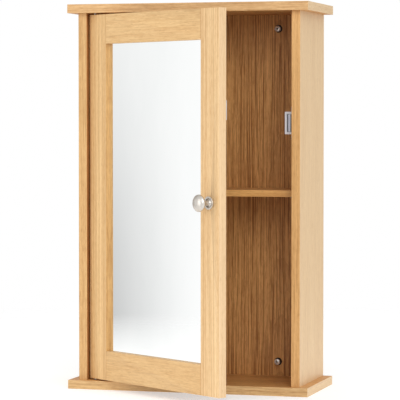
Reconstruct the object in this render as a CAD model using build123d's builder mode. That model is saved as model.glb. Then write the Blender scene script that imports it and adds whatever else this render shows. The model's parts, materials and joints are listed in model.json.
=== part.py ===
from build123d import *
import math
import os

os.makedirs("parts", exist_ok=True)

# Oak-effect wall cabinet with one mirrored door that turns on two pivot pins.
# Millimetres. +X is to the right seen from the front, +Y points to the wall, +Z is up.
# The origin is the centre of the bottom panel's underside.
# The door is modelled part open, which is its rest position.

# Cabinet
width = 340.0
depth = 150.0
height = 530.0
board = 12.0
side_overhang = 13.0
front_overhang = 9.5
edge_round = 0.6
near = 0.1

front_y = -depth / 2
wall_y = depth / 2
side_front_y = front_y + front_overhang
side_outer_x = width / 2 - side_overhang
inner_x = side_outer_x - board
floor_z = board
ceiling_z = height - board

# Back panel, which lies in grooves, and the hanging rails behind it
back_thickness = 6.0
back_front_y = wall_y - 19.0
back_rear_y = back_front_y + back_thickness
groove_depth = 5.0
groove_play = 0.2
rail_height = 60.0
rail_fixing_xs = (-60.0, 0.0, 60.0)
rail_fixing_length = 16.0
rail_fixing_radius = 1.5
rail_fixing_head_radius = 3.0
rail_fixing_head = 1.5
rail_fixing_tip = 3.0

# Wall screws: pan heads that stand proud of the back panel
wall_screw_x = 96.5
wall_screw_zs = (32.0, 498.5)
wall_screw_hole_radius = 5.5
wall_screw_rail_hole_radius = 2.3
wall_screw_radius = 2.0
wall_screw_shank_radius = 1.5
wall_screw_length = 50.0
wall_screw_tip = 5.0
wall_screw_stand = 5.0
wall_screw_head_radius = 4.2
wall_screw_head = 2.8
wall_screw_crown = 1.7

# Cross recesses of the screws: length, width and depth of their two slots
small_cross = (3.0, 0.7, 0.8)
wall_screw_cross = (4.6, 1.0, 1.8)
knob_screw_cross = (4.4, 0.9, 1.3)
cam_cross = (8.0, 1.2, 1.5)
small_head_chamfer = 0.4

# Shelf and its pins
shelf_thickness = 9.0
shelf_top_z = 276.0
shelf_front_y = front_y + 35.0
shelf_end_gap = 0.5
shelf_back_gap = 0.5
pin_radius = 2.5
pin_hole_depth = 8.0
pin_paddle_length = 11.0
pin_paddle_width = 9.0
pin_paddle_thickness = 2.0
pin_paddle_corner = 2.0
pin_paddle_gap = 0.3
pin_peg_under_paddle = 8.0
pin_ys = (shelf_front_y + 18.0, back_front_y - 20.0)
pin_hole_pitch = 32.0

# Carcass joints: each corner has two dowels and two cam fixings, in one line
dowel_radius = 3.0
dowel_length = 24.0
dowel_in_panel = 8.0
dowel_chamfer = 0.7
bore_play = 1.0
dowel_ys = (side_front_y + 14.0, wall_y - 30.0)
cam_ys = (side_front_y + 34.0, wall_y - 50.0)
cam_radius = 7.5
cam_depth = 9.5
cam_setback = 24.0
cam_recess = 0.2
cam_slot_play = 0.3
cam_bolt_radius = 2.5
cam_bolt_in_panel = 9.0
cam_bolt_head_radius = 3.2
cam_bolt_bore_radius = 3.4
cam_bolt_waist_radius = 2.0
cam_bolt_collar = 1.5
cam_bolt_tip_gap = 1.5
cam_bolt_ball = 2.5
cam_bolt_cone = 1.0

# Door frame. Its own plane has u along the door from the hinge edge and v from its front face.
door_width = 284.0
door_thickness = 12.0
door_bottom_z = 14.0
door_top_z = 515.5
door_open_angle = 35.2
stile = 38.5
rail = 40.0
pivot_x = -136.0
pivot_y = front_y + 19.0
pivot_inset = 5.0
lip = 6.0
rebate = 8.0
mirror_thickness = 3.0
mirror_play = 0.5
frame_dowel_radius = 2.5
frame_dowel_length = 30.0
frame_dowel_offsets = (9.0, 25.0)
frame_round = 0.8

# Pivot pins and bushes
pivot_radius = 1.25
pivot_play = 0.05
pivot_in_door = 14.0
bush_radius = 3.5
bush_depth = 9.0
bush_floor = 1.0
pivot_chamfer = 0.3
pivot_end_gap = 1.0

# Turn clips behind the mirror backing
clip_radius = 4.0
clip_reach = 11.0
clip_thickness = 1.0
clip_inset = 4.0
clip_pitch = 280.0
clip_screw_radius = 1.4
clip_screw_length = 7.0
clip_screw_head_radius = 2.8
clip_screw_head = 1.2

# Magnetic catch on the right side panel and the strike plate behind the door
catch_z = 367.25
strike_gap = 0.3
strike_thickness = 1.5
strike_width = 15.0
strike_height = 26.0
strike_z = 384.2
strike_inset = 1.0
strike_corner = 1.5
strike_screw_inset = 3.5
strike_screw_pitch = 16.0
strike_screw_radius = 1.4
strike_screw_head_radius = 2.6
strike_screw_head = 0.9
strike_screw_length = 9.0
pole_stand = 1.6
pole_thickness = 1.3
pole_height = 24.0
pole_length = 11.5
pole_xs = (135.2, 140.0)
catch_width = 14.0
catch_body_height = 30.5
catch_height = 45.6
catch_body_depth = 14.0
catch_ear_width = 5.5
catch_ear_depth = 11.0
catch_ear_set_back = 2.0
catch_round = 0.8
magnet_set_back = 0.8
magnet_end_gap = 0.5
catch_screw_radius = 1.4
catch_screw_head_radius = 2.6
catch_screw_head = 1.4
catch_screw_length = 13.0

# Knob: a domed head on a slim neck, over a stepped rosette
knob_z = (door_bottom_z + door_top_z) / 2
knob_head_radius = 11.8
knob_head_thickness = 11.4
knob_dome = 5.0
knob_rim_round = 1.5
knob_projection = 24.0
knob_neck_radius = 3.4
knob_foot_radius = 5.2
rosette_radius = 8.8
rosette_thickness = 3.0
rosette_edge = 1.0
rosette_bevel = 1.2
rosette_land = 1.2
rosette_dish = 1.2
rosette_dish_slope = 0.4
knob_screw_radius = 1.9
knob_screw_in_knob = 10.0
knob_screw_head_radius = 3.8
knob_screw_head = 2.4
knob_screw_head_round = 1.0

# Places worked out from the dimensions above
door_u = (math.cos(math.radians(door_open_angle)), -math.sin(math.radians(door_open_angle)))
door_v = (-door_u[1], door_u[0])
door_height = door_top_z - door_bottom_z
rail_length = door_width - 2 * stile
hinge_x = pivot_inset
hinge_v = door_thickness / 2
opening_bottom = door_bottom_z + rail
opening_top = door_top_z - rail
opening_height = opening_top - opening_bottom
mirror_width = rail_length + 2 * rebate - 2 * mirror_play
mirror_height = opening_height + 2 * rebate - 2 * mirror_play
opening_mid_z = (opening_top + opening_bottom) / 2
knob_u = door_width - stile / 2
closed_back_y = pivot_y + door_thickness - hinge_v
pole_front_y = closed_back_y + strike_thickness + strike_gap
catch_front_y = pole_front_y + pole_stand
mid_pole_x = sum(pole_xs) / 2
ear_y = catch_front_y + catch_ear_set_back + catch_ear_depth / 2
ear_zs = [catch_z + s * (catch_height + catch_body_height) / 4 for s in (-1, 1)]


def door_point(u, v, z=0.0):
    """A point of the part-open door, from its distances along and through the door."""
    along = u - hinge_x
    through = v - hinge_v
    x = pivot_x + along * door_u[0] + through * door_v[0]
    y = pivot_y + along * door_u[1] + through * door_v[1]
    return (x, y, z)


def door_plane(z):
    """Horizontal plane at height z: its x is u and its y is v."""
    return Plane(origin=door_point(0, 0, z), x_dir=(*door_u, 0), z_dir=(0, 0, 1))


def door_face_plane(v):
    """Upright plane at depth v: its x is u, its y is height and its normal points out of the front."""
    return Plane(origin=door_point(0, v), x_dir=(*door_u, 0), z_dir=(-door_v[0], -door_v[1], 0))


def door_back_plane(v):
    """Upright plane at depth v whose normal points out of the back: its x is -u."""
    return Plane(origin=door_point(0, v), x_dir=(-door_u[0], -door_u[1], 0), z_dir=(*door_v, 0))


def rail_end_plane(u):
    """Upright plane across the door at u: its x is v and its y is height."""
    return Plane(origin=door_point(u, 0), x_dir=(*door_v, 0), z_dir=(*door_u, 0))


def wall_plane(y):
    """Upright plane at y that faces the front: its x is X and its y is Z."""
    return Plane(origin=(0, y, 0), x_dir=(1, 0, 0), z_dir=(0, -1, 0))


def side_plane(x, facing):
    """Upright plane at x that faces +X or -X: its x is Y times facing and its y is Z."""
    return Plane(origin=(x, 0, 0), x_dir=(0, facing, 0), z_dir=(facing, 0, 0))


def cross(length, width):
    """The two crossed slots of a screwdriver recess, in the sketch that is open."""
    Rectangle(length, width)
    Rectangle(width, length)


def save(part, name):
    part.label = name
    export_step(part, f"parts/{name}.step")


wall_screw_points = [(sx * wall_screw_x, z) for sx in (-1, 1) for z in wall_screw_zs]
rail_mid_zs = (floor_z + rail_height / 2, ceiling_z - rail_height / 2)
rail_fixing_points = [(x, z) for x in rail_fixing_xs for z in rail_mid_zs]
side_mid_x = inner_x + board / 2


# Top and bottom panels
def make_end_panel(z, inner_z, outward):
    """A board at the top or the bottom. Its inner face is at inner_z and outward is +1 or -1."""
    inner_plane = Plane(origin=(0, 0, inner_z), x_dir=(1, 0, 0), z_dir=(0, 0, outward))
    with BuildPart() as panel:
        with BuildSketch(Plane.XY.offset(z)):
            Rectangle(width, depth)
        extrude(amount=board)
        fillet(panel.edges().filter_by(lambda e: e.center().Y < front_y + near), radius=edge_round)
        # groove for the back panel
        with BuildSketch(inner_plane):
            with Locations((0, outward * (back_front_y + back_thickness / 2))):
                Rectangle(2 * (inner_x + groove_depth), back_thickness + groove_play)
        extrude(amount=groove_depth, mode=Mode.SUBTRACT)
        # bores for the carcass fixings
        with BuildSketch(inner_plane):
            for sx in (-1, 1):
                with Locations(*[(sx * side_mid_x, outward * y) for y in dowel_ys]):
                    Circle(dowel_radius)
        extrude(amount=dowel_in_panel + bore_play, mode=Mode.SUBTRACT)
        with BuildSketch(inner_plane):
            for sx in (-1, 1):
                with Locations(*[(sx * side_mid_x, outward * y) for y in cam_ys]):
                    Circle(cam_bolt_radius)
        extrude(amount=cam_bolt_in_panel, mode=Mode.SUBTRACT)
        # seat for the pivot bush
        with BuildSketch(inner_plane):
            with Locations((pivot_x, outward * pivot_y)):
                Circle(bush_radius)
        extrude(amount=bush_depth, mode=Mode.SUBTRACT)
    return panel.part


save(make_end_panel(ceiling_z, ceiling_z, 1), "top_panel")
save(make_end_panel(0, floor_z, -1), "bottom_panel")


# Side panels
def make_side_panel(side):
    """A side board. side is -1 on the left and +1 on the right."""
    inner_face = side * inner_x
    outward_plane = side_plane(inner_face, side)
    panel_depth = wall_y - side_front_y
    with BuildPart() as panel:
        with BuildSketch(outward_plane):
            with Locations((side * (wall_y + side_front_y) / 2, height / 2)):
                Rectangle(panel_depth, ceiling_z - floor_z)
        extrude(amount=board)
        fillet(panel.edges().filter_by(Axis.Z).filter_by(lambda e: e.center().Y < side_front_y + near),
               radius=edge_round)
        # groove for the back panel
        with BuildSketch(outward_plane):
            with Locations((side * (back_front_y + back_thickness / 2), height / 2)):
                Rectangle(back_thickness + groove_play, ceiling_z - floor_z)
        extrude(amount=groove_depth, mode=Mode.SUBTRACT)
        # pockets for the cam locks
        with BuildSketch(outward_plane):
            for z in (floor_z + cam_setback, ceiling_z - cam_setback):
                with Locations(*[(side * y, z) for y in cam_ys]):
                    Circle(cam_radius)
        extrude(amount=cam_depth, mode=Mode.SUBTRACT)
        # holes for the shelf pins, at three heights
        with BuildSketch(outward_plane):
            for step in (-1, 0, 1):
                pin_z = shelf_top_z - shelf_thickness - pin_radius + step * pin_hole_pitch
                with Locations(*[(side * y, pin_z) for y in pin_ys]):
                    Circle(pin_radius)
        extrude(amount=pin_hole_depth, mode=Mode.SUBTRACT)
        # end bores for the dowels and the cam bolts
        for end_z, inward in ((floor_z, 1), (ceiling_z, -1)):
            end_plane = Plane(origin=(side * side_mid_x, 0, end_z), x_dir=(1, 0, 0), z_dir=(0, 0, inward))
            with BuildSketch(end_plane):
                with Locations(*[(0, inward * y) for y in dowel_ys]):
                    Circle(dowel_radius)
            extrude(amount=dowel_length - dowel_in_panel + bore_play, mode=Mode.SUBTRACT)
            with BuildSketch(end_plane):
                with Locations(*[(0, inward * y) for y in cam_ys]):
                    Circle(cam_bolt_bore_radius)
            extrude(amount=cam_setback, mode=Mode.SUBTRACT)
        # pilot holes for the catch screws
        if side > 0:
            with BuildSketch(outward_plane):
                with Locations(*[(ear_y, z) for z in ear_zs]):
                    Circle(catch_screw_radius)
            extrude(amount=catch_screw_length - catch_ear_width, mode=Mode.SUBTRACT)
    return panel.part


save(make_side_panel(-1), "left_side_panel")
save(make_side_panel(1), "right_side_panel")

# Back panel: a thin board with four clearance holes for the wall screws
with BuildPart() as back_panel:
    with BuildSketch(wall_plane(back_front_y)):
        with Locations((0, height / 2)):
            Rectangle(2 * (inner_x + groove_depth), ceiling_z - floor_z + 2 * groove_depth)
    extrude(amount=-back_thickness)
    with BuildSketch(wall_plane(back_front_y)):
        with Locations(*wall_screw_points):
            Circle(wall_screw_hole_radius)
    extrude(amount=-back_thickness, mode=Mode.SUBTRACT)
    with BuildSketch(wall_plane(back_rear_y)):
        with Locations(*rail_fixing_points):
            Circle(rail_fixing_radius)
    extrude(amount=rail_fixing_length - (wall_y - back_rear_y), mode=Mode.SUBTRACT)
save(back_panel.part, "back_panel")


# Hanging rails behind the back panel
def make_hanging_rail(mid_z):
    with BuildPart() as hanging_rail:
        with BuildSketch(wall_plane(back_rear_y)):
            with Locations((0, mid_z)):
                Rectangle(2 * inner_x, rail_height)
        extrude(amount=back_rear_y - wall_y)
        with BuildSketch(wall_plane(wall_y)):
            with Locations(*[p for p in wall_screw_points if abs(p[1] - mid_z) < rail_height]):
                Circle(wall_screw_rail_hole_radius)
        extrude(amount=wall_y - back_rear_y, mode=Mode.SUBTRACT)
        with Locations(Plane(origin=(0, wall_y, mid_z), x_dir=(-1, 0, 0), z_dir=(0, 1, 0))):
            with Locations(*[(x, 0) for x in rail_fixing_xs]):
                CounterSinkHole(rail_fixing_radius, rail_fixing_head_radius, wall_y - back_rear_y)
    return hanging_rail.part


save(make_hanging_rail(rail_mid_zs[1]), "upper_hanging_rail")
save(make_hanging_rail(rail_mid_zs[0]), "lower_hanging_rail")

# Countersunk screws that fix the back panel to the hanging rails
with BuildPart() as rail_screw:
    with BuildSketch(Plane.XZ):
        with BuildLine():
            Polyline((0, 0), (rail_fixing_head_radius, 0), (rail_fixing_radius, -rail_fixing_head),
                     (rail_fixing_radius, rail_fixing_tip - rail_fixing_length), (0, -rail_fixing_length),
                     close=True)
        make_face()
    revolve(axis=Axis.Z)
    with BuildSketch(Plane.XY):
        cross(*small_cross[:2])
    extrude(amount=-small_cross[2], mode=Mode.SUBTRACT)
with BuildPart() as back_panel_screws:
    with Locations(Plane(origin=(0, wall_y, 0), x_dir=(-1, 0, 0), z_dir=(0, 1, 0))):
        with Locations(*[(-x, z) for x, z in rail_fixing_points]):
            add(rail_screw.part)
save(back_panel_screws.part, "back_panel_screws")

# Wall screws: pan head with a cross recess, and a plain shank as far as the wall. The thread behind
# it is the full radius, and ends in a point.
thread_z = back_front_y - wall_screw_stand - wall_y
with BuildPart() as wall_screw:
    with BuildSketch(Plane.XZ):
        with BuildLine():
            Polyline((0, wall_screw_head), (wall_screw_head_radius, wall_screw_head),
                     (wall_screw_head_radius, 0), (wall_screw_shank_radius, 0),
                     (wall_screw_shank_radius, thread_z), (wall_screw_radius, thread_z),
                     (wall_screw_radius, wall_screw_tip - wall_screw_length), (0, -wall_screw_length),
                     close=True)
        make_face()
    revolve(axis=Axis.Z)
    fillet(wall_screw.edges().group_by(Axis.Z)[-1], radius=wall_screw_crown)
    with BuildSketch(Plane.XY.offset(wall_screw_head)):
        cross(*wall_screw_cross[:2])
    extrude(amount=-wall_screw_cross[2], mode=Mode.SUBTRACT)
with BuildPart() as wall_screws:
    with Locations(wall_plane(back_front_y - wall_screw_stand)):
        with Locations(*wall_screw_points):
            add(wall_screw.part)
save(wall_screws.part, "wall_screws")

# Shelf
with BuildPart() as shelf:
    with BuildSketch(Plane.XY.offset(shelf_top_z - shelf_thickness)):
        with Locations((0, (shelf_front_y + back_front_y - shelf_back_gap) / 2)):
            Rectangle(2 * (inner_x - shelf_end_gap), back_front_y - shelf_back_gap - shelf_front_y)
    extrude(amount=shelf_thickness)
    fillet(shelf.edges().filter_by(Axis.X).filter_by(lambda e: e.center().Y < shelf_front_y + near),
           radius=edge_round)
save(shelf.part, "shelf")

# Shelf pins: a round peg with a flat paddle under the shelf
with BuildPart() as shelf_pins:
    for side in (-1, 1):
        peg_plane = side_plane(side * (inner_x + pin_hole_depth), side)
        with BuildSketch(peg_plane):
            with Locations(*[(side * y, shelf_top_z - shelf_thickness - pin_radius) for y in pin_ys]):
                Circle(pin_radius)
        extrude(amount=-(pin_hole_depth + pin_peg_under_paddle))
        paddle_mid_x = side * (inner_x - pin_paddle_gap - pin_paddle_length / 2)
        with BuildSketch(Plane.XY.offset(shelf_top_z - shelf_thickness)):
            with Locations(*[(paddle_mid_x, y) for y in pin_ys]):
                RectangleRounded(pin_paddle_length, pin_paddle_width, pin_paddle_corner)
        extrude(amount=-pin_paddle_thickness)
save(shelf_pins.part, "shelf_pins")

# Carcass dowels, with chamfered ends
with BuildPart() as carcass_dowel:
    Cylinder(dowel_radius, dowel_length)
    chamfer(carcass_dowel.edges().filter_by(GeomType.CIRCLE), length=dowel_chamfer)
with BuildPart() as carcass_dowels:
    for end_z, outward in ((floor_z, -1), (ceiling_z, 1)):
        dowel_mid_z = end_z + outward * (dowel_in_panel - dowel_length / 2)
        for side in (-1, 1):
            with Locations(*[(side * side_mid_x, y, dowel_mid_z) for y in dowel_ys]):
                add(carcass_dowel.part)
save(carcass_dowels.part, "carcass_dowels")

# Cam bolts: threaded end in the panel, collar, waist, and a head inside the cam
cam_bolt_end = cam_bolt_tip_gap - cam_setback
with BuildPart() as cam_bolt:
    with BuildSketch(Plane.XZ):
        with BuildLine():
            Polyline((0, cam_bolt_in_panel), (cam_bolt_radius, cam_bolt_in_panel), (cam_bolt_radius, 0),
                     (cam_bolt_head_radius, 0), (cam_bolt_head_radius, -cam_bolt_collar),
                     (cam_bolt_waist_radius, -cam_bolt_collar),
                     (cam_bolt_waist_radius, cam_bolt_end + cam_bolt_ball + cam_bolt_cone),
                     (cam_bolt_head_radius, cam_bolt_end + cam_bolt_ball),
                     (cam_bolt_head_radius, cam_bolt_end), (0, cam_bolt_end), close=True)
        make_face()
    revolve(axis=Axis.Z)
with BuildPart() as cam_bolts:
    for end_z, outward in ((floor_z, -1), (ceiling_z, 1)):
        for side in (-1, 1):
            for y in cam_ys:
                bolt_plane = Plane(origin=(side * side_mid_x, y, end_z), x_dir=(1, 0, 0),
                                   z_dir=(0, 0, outward))
                with Locations(bolt_plane):
                    add(cam_bolt.part)
save(cam_bolts.part, "cam_bolts")

# Cam locks: a drum with a screwdriver cross and a slot that takes the bolt's head
cam_slot_width = 2 * (cam_bolt_head_radius + cam_slot_play)
cam_zs = (floor_z + cam_setback, ceiling_z - cam_setback)
with BuildPart() as cam_locks:
    for side in (-1, 1):
        lock_plane = side_plane(side * (inner_x + cam_recess), side)
        lock_points = [(side * y, z) for y in cam_ys for z in cam_zs]
        with BuildSketch(lock_plane):
            with Locations(*lock_points):
                Circle(cam_radius)
        extrude(amount=cam_depth - cam_recess)
        with BuildSketch(lock_plane):
            with Locations(*lock_points):
                cross(*cam_cross[:2])
        extrude(amount=cam_cross[2], mode=Mode.SUBTRACT)
        for y in cam_ys:
            for z, towards in zip(cam_zs, (-1, 1)):
                with BuildSketch(Plane.XY.offset(z)):
                    with Locations((side * side_mid_x, y)):
                        Rectangle(cam_slot_width, cam_slot_width)
                extrude(amount=towards * cam_radius, mode=Mode.SUBTRACT)
save(cam_locks.part, "cam_locks")


# Nylon bushes for the pivot pins
def make_bush(inner_z, outward):
    bush_plane = Plane(origin=(pivot_x, pivot_y, inner_z), x_dir=(1, 0, 0), z_dir=(0, 0, outward))
    with BuildPart() as bush:
        with BuildSketch(bush_plane):
            Circle(bush_radius)
        extrude(amount=bush_depth)
        with BuildSketch(bush_plane):
            Circle(pivot_radius + pivot_play)
        extrude(amount=bush_depth - bush_floor, mode=Mode.SUBTRACT)
    return bush.part


save(make_bush(ceiling_z, 1), "upper_bush")
save(make_bush(floor_z, -1), "lower_bush")


# Pivot pins, fixed in the door's hinge stile
def make_pivot_pin(door_z, panel_z, outward):
    reach = abs(panel_z - door_z) + bush_depth - bush_floor - pivot_end_gap
    pin_plane = Plane(origin=(pivot_x, pivot_y, door_z - outward * pivot_in_door), x_dir=(1, 0, 0),
                      z_dir=(0, 0, outward))
    with BuildPart() as pivot_pin:
        with BuildSketch(pin_plane):
            Circle(pivot_radius)
        extrude(amount=pivot_in_door + reach)
        chamfer(pivot_pin.edges().filter_by(GeomType.CIRCLE), length=pivot_chamfer)
    return pivot_pin.part


save(make_pivot_pin(door_top_z, ceiling_z, 1), "upper_pivot_pin")
save(make_pivot_pin(door_bottom_z, floor_z, -1), "lower_pivot_pin")

# Catch housing: a plastic box with two screw ears and a slot for the magnet and its plates
slot_width = pole_xs[1] - pole_xs[0] + pole_thickness
with BuildPart() as catch_housing:
    with BuildSketch(Plane.XY.offset(catch_z - catch_body_height / 2)):
        with Locations((inner_x - catch_width / 2, catch_front_y + catch_body_depth / 2)):
            Rectangle(catch_width, catch_body_depth)
    extrude(amount=catch_body_height)
    fillet(catch_housing.edges().filter_by(lambda e: e.center().X < inner_x - near), radius=catch_round)
    with BuildSketch(Plane.XY.offset(catch_z - catch_height / 2)):
        with Locations((inner_x - catch_ear_width / 2, ear_y)):
            RectangleRounded(catch_ear_width, catch_ear_depth, catch_round)
    extrude(amount=catch_height)
    with BuildSketch(wall_plane(catch_front_y)):
        with Locations((mid_pole_x, catch_z)):
            Rectangle(slot_width, pole_height)
    extrude(amount=-(pole_length - pole_stand), mode=Mode.SUBTRACT)
    with BuildSketch(side_plane(inner_x - catch_ear_width, 1)):
        with Locations(*[(ear_y, z) for z in ear_zs]):
            Circle(catch_screw_radius)
    extrude(amount=catch_ear_width, mode=Mode.SUBTRACT)
save(catch_housing.part, "catch_housing")

# Magnet between the pole plates
with BuildPart() as catch_magnet:
    with BuildSketch(wall_plane(catch_front_y + magnet_set_back)):
        with Locations((mid_pole_x, catch_z)):
            Rectangle(slot_width - 2 * pole_thickness, pole_height - 2 * magnet_end_gap)
    extrude(amount=-(pole_length - pole_stand - magnet_set_back))
save(catch_magnet.part, "catch_magnet")

# Steel pole plates, which stand out of the housing towards the strike plate
with BuildPart() as catch_pole_plates:
    with BuildSketch(wall_plane(pole_front_y)):
        with Locations(*[(x, catch_z) for x in pole_xs]):
            Rectangle(pole_thickness, pole_height)
    extrude(amount=-pole_length)
save(catch_pole_plates.part, "catch_pole_plates")

# Catch screws, through the ears into the side panel
with BuildPart() as catch_screws:
    for z in ear_zs:
        ear_plane = Plane(origin=(inner_x - catch_ear_width, ear_y, z), x_dir=(0, 1, 0), z_dir=(1, 0, 0))
        with BuildSketch(ear_plane):
            Circle(catch_screw_radius)
        extrude(amount=catch_screw_length)
        with BuildSketch(ear_plane):
            Circle(catch_screw_head_radius)
        extrude(amount=-catch_screw_head)
        with BuildSketch(ear_plane.offset(-catch_screw_head)):
            cross(*small_cross[:2])
        extrude(amount=small_cross[2], mode=Mode.SUBTRACT)
save(catch_screws.part, "catch_screws")


# Door stiles: full-height boards with a stopped rebate at the back for the mirror
frame_dowel_zs = [door_bottom_z + d for d in frame_dowel_offsets]
frame_dowel_zs += [door_top_z - d for d in frame_dowel_offsets]
strike_screw_u = door_width - strike_inset - strike_width + strike_screw_inset
strike_screw_points = [(strike_screw_u, strike_z + s * strike_screw_pitch / 2) for s in (-1, 1)]
clip_points = []
for clip_z in (opening_mid_z - clip_pitch / 2, opening_mid_z + clip_pitch / 2):
    clip_points.append((stile - rebate - clip_inset, clip_z, 0))
    clip_points.append((door_width - stile + rebate + clip_inset, clip_z, 180))
clip_points.append((door_width / 2, opening_bottom - rebate - clip_inset, 90))
clip_points.append((door_width / 2, opening_top + rebate + clip_inset, 270))


def make_stile(start_u, inner_u, hinge_side):
    """A stile from start_u. Its rebate lies along the edge at inner_u."""
    inward = 1 if hinge_side else -1
    with BuildPart() as frame_stile:
        with BuildSketch(door_plane(door_bottom_z)):
            with Locations((start_u + stile / 2, door_thickness / 2)):
                Rectangle(stile, door_thickness)
        extrude(amount=door_height)
        fillet(frame_stile.edges().filter_by(Axis.Z), radius=frame_round)
        with BuildSketch(door_plane(opening_bottom - rebate)):
            with Locations((inner_u - inward * rebate / 2, (lip + door_thickness) / 2)):
                Rectangle(rebate, door_thickness - lip)
        extrude(amount=opening_height + 2 * rebate, mode=Mode.SUBTRACT)
        # dowel bores for the rails
        with BuildSketch(rail_end_plane(inner_u)):
            with Locations(*[(hinge_v, z) for z in frame_dowel_zs]):
                Circle(frame_dowel_radius)
        extrude(amount=-inward * (frame_dowel_length / 2 + bore_play), mode=Mode.SUBTRACT)
        # pilot holes for the clip screws
        with BuildSketch(door_back_plane(door_thickness)):
            with Locations(*[(-u, z) for u, z, turn in clip_points if abs(u - inner_u) < stile]):
                Circle(clip_screw_radius)
        extrude(amount=clip_thickness - clip_screw_length, mode=Mode.SUBTRACT)
        if hinge_side:
            # bores for the pivot pins
            for end_z, into in ((door_bottom_z, 1), (door_top_z, -1)):
                with BuildSketch(door_plane(end_z)):
                    with Locations((hinge_x, hinge_v)):
                        Circle(pivot_radius)
                extrude(amount=into * pivot_in_door, mode=Mode.SUBTRACT)
        else:
            # hole for the knob's screw, and pilot holes for the strike plate's screws
            with BuildSketch(door_back_plane(door_thickness)):
                with Locations((-knob_u, knob_z)):
                    Circle(knob_screw_radius)
            extrude(amount=-door_thickness, mode=Mode.SUBTRACT)
            with BuildSketch(door_back_plane(door_thickness)):
                with Locations(*[(-u, z) for u, z in strike_screw_points]):
                    Circle(strike_screw_radius)
            extrude(amount=strike_thickness - strike_screw_length, mode=Mode.SUBTRACT)
    return frame_stile.part


save(make_stile(0, stile, True), "door_left_stile")
save(make_stile(door_width - stile, door_width - stile, False), "door_right_stile")


# Door rails: between the stiles, with the rebate along their inner edge
def make_rail(outer_z, inward):
    """A rail whose outer edge is at outer_z. inward is +1 for the bottom rail and -1 for the top rail."""
    inner_z = outer_z + inward * rail
    with BuildPart() as frame_rail:
        with BuildSketch(rail_end_plane(stile)):
            with Locations((door_thickness / 2, (outer_z + inner_z) / 2)):
                Rectangle(door_thickness, rail)
            with Locations(((lip + door_thickness) / 2, inner_z - inward * rebate / 2)):
                Rectangle(door_thickness - lip, rebate, mode=Mode.SUBTRACT)
        extrude(amount=rail_length)
        for end_u, into in ((stile, 1), (door_width - stile, -1)):
            with BuildSketch(rail_end_plane(end_u)):
                with Locations(*[(hinge_v, outer_z + inward * d) for d in frame_dowel_offsets]):
                    Circle(frame_dowel_radius)
            extrude(amount=into * (frame_dowel_length / 2 + bore_play), mode=Mode.SUBTRACT)
        with BuildSketch(door_back_plane(door_thickness)):
            with Locations(*[(-u, z) for u, z, turn in clip_points if abs(z - outer_z) < rail]):
                Circle(clip_screw_radius)
        extrude(amount=clip_thickness - clip_screw_length, mode=Mode.SUBTRACT)
    return frame_rail.part


save(make_rail(door_bottom_z, 1), "door_bottom_rail")
save(make_rail(door_top_z, -1), "door_top_rail")

# Dowels in the corners of the door frame
with BuildPart() as frame_dowel:
    Cylinder(frame_dowel_radius, frame_dowel_length)
    chamfer(frame_dowel.edges().filter_by(GeomType.CIRCLE), length=dowel_chamfer)
with BuildPart() as door_dowels:
    for joint_u in (stile, door_width - stile):
        with Locations(rail_end_plane(joint_u)):
            with Locations(*[(hinge_v, z) for z in frame_dowel_zs]):
                add(frame_dowel.part)
save(door_dowels.part, "door_dowels")

# Mirror glass, and the board behind it
with BuildPart() as mirror_glass:
    with BuildSketch(door_face_plane(lip)):
        with Locations((door_width / 2, opening_mid_z)):
            Rectangle(mirror_width, mirror_height)
    extrude(amount=-mirror_thickness)
save(mirror_glass.part, "mirror_glass")

with BuildPart() as mirror_backing:
    with BuildSketch(door_face_plane(lip + mirror_thickness)):
        with Locations((door_width / 2, opening_mid_z)):
            Rectangle(mirror_width, mirror_height)
    extrude(amount=-(door_thickness - lip - mirror_thickness))
save(mirror_backing.part, "mirror_backing")

# Turn clips: each is a small plate with a round end at its screw, and it reaches over the backing
with BuildPart() as turn_clip:
    with BuildSketch():
        SlotCenterPoint(center=(-clip_reach / 2 + clip_radius, 0), point=(0, 0), height=2 * clip_radius)
        Circle(clip_screw_radius, mode=Mode.SUBTRACT)
    extrude(amount=clip_thickness)
with BuildPart() as turn_clip_screw:
    with BuildSketch():
        Circle(clip_screw_radius)
    extrude(amount=-clip_screw_length)
    with BuildSketch():
        Circle(clip_screw_head_radius)
    extrude(amount=clip_screw_head)
    chamfer(turn_clip_screw.edges().group_by(Axis.Z)[-1], length=small_head_chamfer)
    with BuildSketch(Plane.XY.offset(clip_screw_head)):
        cross(*small_cross[:2])
    extrude(amount=-small_cross[2], mode=Mode.SUBTRACT)
with BuildPart() as backing_clips:
    with Locations(door_back_plane(door_thickness)):
        with Locations(*[Location((-u, z, 0), (0, 0, -turn)) for u, z, turn in clip_points]):
            add(turn_clip.part)
save(backing_clips.part, "backing_clips")
with BuildPart() as clip_screws:
    with Locations(door_back_plane(door_thickness + clip_thickness)):
        with Locations(*[(-u, z) for u, z, turn in clip_points]):
            add(turn_clip_screw.part)
save(clip_screws.part, "clip_screws")

# Strike plate, with two screw holes
with BuildPart() as strike_plate:
    with BuildSketch(door_back_plane(door_thickness)):
        with Locations((-(door_width - strike_inset - strike_width / 2), strike_z)):
            RectangleRounded(strike_width, strike_height, strike_corner)
        with Locations(*[(-u, z) for u, z in strike_screw_points]):
            Circle(strike_screw_radius, mode=Mode.SUBTRACT)
    extrude(amount=strike_thickness)
save(strike_plate.part, "strike_plate")

with BuildPart() as strike_screw:
    with BuildSketch():
        Circle(strike_screw_radius)
    extrude(amount=-strike_screw_length)
    with BuildSketch():
        Circle(strike_screw_head_radius)
    extrude(amount=strike_screw_head)
    chamfer(strike_screw.edges().group_by(Axis.Z)[-1], length=small_head_chamfer)
with BuildPart() as strike_screws:
    with Locations(door_back_plane(door_thickness + strike_thickness)):
        with Locations(*[(-u, z) for u, z in strike_screw_points]):
            add(strike_screw.part)
save(strike_screws.part, "strike_screws")

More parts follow.
